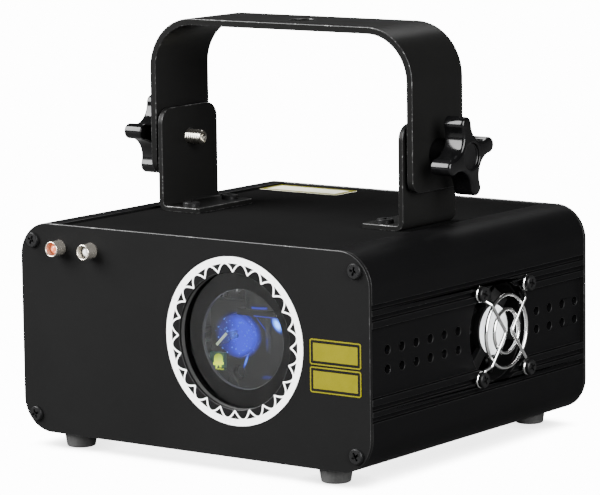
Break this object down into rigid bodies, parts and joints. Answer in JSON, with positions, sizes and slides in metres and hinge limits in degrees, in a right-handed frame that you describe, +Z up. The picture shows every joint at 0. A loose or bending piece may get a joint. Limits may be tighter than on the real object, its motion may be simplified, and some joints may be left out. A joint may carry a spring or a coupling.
{
  "type": "laser show projector",
  "caption": "Compact laser show projector: extruded black housing with round front window, side fan behind a wire guard, rear connectors and a tilting strap yoke on star knobs.",
  "frame": {"origin": "on the surface that the projector stands on, midway between its four feet, below the middle of the housing", "axes": "+Z up out of the top cover, the window panel facing -Y, +X towards the side with the fan"},
  "size_m": [0.1644, 0.1604, 0.1594],
  "materials": {
    "panel_black": "matte black paint",
    "profile_black": "satin black anodised look",
    "cover_black": "fine textured black paint",
    "powder_black": "satin black powder coat",
    "black_screw": "blackened steel",
    "zinc_screw": "zinc plated",
    "foot_rubber": "matte black rubber",
    "washer_rubber": "matte black rubber",
    "clear_glass": "clear float glass",
    "inner_black": "matte black moulding",
    "bezel_chrome": "bright chrome",
    "red_lens": "diffused red lens",
    "clear_lens": "water clear lens",
    "green_lens": "diffused yellow-green lens",
    "fan_plastic": "matte black moulding",
    "guard_wire": "chromed wire",
    "raw_aluminium": "milled",
    "standoff_brass": "turned",
    "coated_glass": "dielectric coating",
    "scan_mirror": "first-surface mirror",
    "motor_steel": "turned steel can",
    "board_green": "solder mask",
    "component_black": "moulded packages",
    "supply_case": "perforated sheet look",
    "socket_plastic": "glass-filled black moulding",
    "display_red": "dark red tinted window",
    "rocker_plastic": "gloss black",
    "knob_plastic": "gloss black moulding",
    "button_plastic": "satin black"
  },
  "bodies": {
    "chassis": {"front_panel": "panel_black", "rear_panel": "panel_black", "side_profile_right": "profile_black", "side_profile_left": "profile_black", "top_cover": "cover_black", "bottom_plate": "cover_black", "panel_screws": "black_screw", "rubber_feet": "foot_rubber", "foot_screws": "zinc_screw", "bracket_left": "powder_black", "bracket_right": "powder_black", "bracket_screws": "black_screw", "bracket_nuts": "zinc_screw", "friction_washers": "washer_rubber", "window_gasket": "washer_rubber", "window_glass": "clear_glass", "window_retainer": "inner_black", "indicator_bezels": "bezel_chrome", "power_indicator": "red_lens", "signal_indicator": "clear_lens", "fan_frame": "fan_plastic", "fan_guard": "guard_wire", "fan_screws": "black_screw", "fan_nuts": "zinc_screw", "optical_bench": "raw_aluminium", "standoffs": "standoff_brass", "red_laser": "raw_aluminium", "blue_laser": "raw_aluminium", "optics_mounts": "raw_aluminium", "fixed_optics": "coated_glass", "scanner_bracket": "raw_aluminium", "scanner_motors": "motor_steel", "lamp_board": "board_green", "status_lamp": "green_lens", "control_board": "board_green", "board_components": "component_black", "power_supply": "supply_case", "mains_inlet": "socket_plastic", "switch_housing": "socket_plastic", "signal_input": "socket_plastic", "signal_output": "socket_plastic", "signal_output_insert": "socket_plastic", "connector_screws": "zinc_screw", "panel_board": "board_green", "display_window": "display_red", "sensitivity_pot": "motor_steel"},
    "yoke": {"yoke": "powder_black"},
    "knob_left": {"knob_left": "knob_plastic", "knob_left_stud": "zinc_screw"},
    "knob_right": {"knob_right": "knob_plastic", "knob_right_stud": "zinc_screw"},
    "fan_rotor": {"fan_rotor": "fan_plastic"},
    "scanner_x_mirror": {"scanner_x_mirror": "scan_mirror"},
    "scanner_y_mirror": {"scanner_y_mirror": "scan_mirror"},
    "rocker": {"rocker": "rocker_plastic"},
    "sensitivity_knob": {"sensitivity_knob": "knob_plastic"},
    "menu_button_1": {"menu_button_1": "button_plastic"},
    "menu_button_2": {"menu_button_2": "button_plastic"},
    "menu_button_3": {"menu_button_3": "button_plastic"},
    "menu_button_4": {"menu_button_4": "button_plastic"}
  },
  "joints": [
    {"name": "yoke_tilt", "type": "hinge", "parent": "chassis", "child": "yoke", "pos_m": [0, 0, 0.1119], "axis": [1, 0, 0], "range_deg": [-95, 95]},
    {"name": "knob_left_turn", "type": "hinge", "parent": "chassis", "child": "knob_left", "pos_m": [-0.06115, 0, 0.1119], "axis": [-1, 0, 0], "range_deg": [0, 180]},
    {"name": "knob_right_turn", "type": "hinge", "parent": "chassis", "child": "knob_right", "pos_m": [0.06115, 0, 0.1119], "axis": [1, 0, 0], "range_deg": [0, 180]},
    {"name": "fan_spin", "type": "hinge", "parent": "chassis", "child": "fan_rotor", "pos_m": [0.07, 0.0133, 0.0455], "axis": [1, 0, 0], "continuous": true},
    {"name": "scanner_x_swing", "type": "hinge", "parent": "chassis", "child": "scanner_x_mirror", "pos_m": [0.0197, -0.05, 0.045], "axis": [0, 0, 1], "range_deg": [-15, 15]},
    {"name": "scanner_y_swing", "type": "hinge", "parent": "chassis", "child": "scanner_y_mirror", "pos_m": [0.0007, -0.05, 0.045], "axis": [0, 1, 0], "range_deg": [-15, 15]},
    {"name": "rocker_tip", "type": "hinge", "parent": "chassis", "child": "rocker", "pos_m": [-0.052, 0.0706, 0.0615], "axis": [-1, 0, 0], "range_deg": [0, 18]},
    {"name": "sensitivity_turn", "type": "hinge", "parent": "chassis", "child": "sensitivity_knob", "pos_m": [0.047, 0.0725, 0.03], "axis": [0, 1, 0], "range_deg": [-135, 135]},
    {"name": "menu_button_1_press", "type": "slide", "parent": "chassis", "child": "menu_button_1", "axis": [0, -1, 0], "range_m": [0, 0.0008], "stiffness_N_per_m": 500},
    {"name": "menu_button_2_press", "type": "slide", "parent": "chassis", "child": "menu_button_2", "axis": [0, -1, 0], "range_m": [0, 0.0008], "stiffness_N_per_m": 500},
    {"name": "menu_button_3_press", "type": "slide", "parent": "chassis", "child": "menu_button_3", "axis": [0, -1, 0], "range_m": [0, 0.0008], "stiffness_N_per_m": 500},
    {"name": "menu_button_4_press", "type": "slide", "parent": "chassis", "child": "menu_button_4", "axis": [0, -1, 0], "range_m": [0, 0.0008], "stiffness_N_per_m": 500}
  ]
}
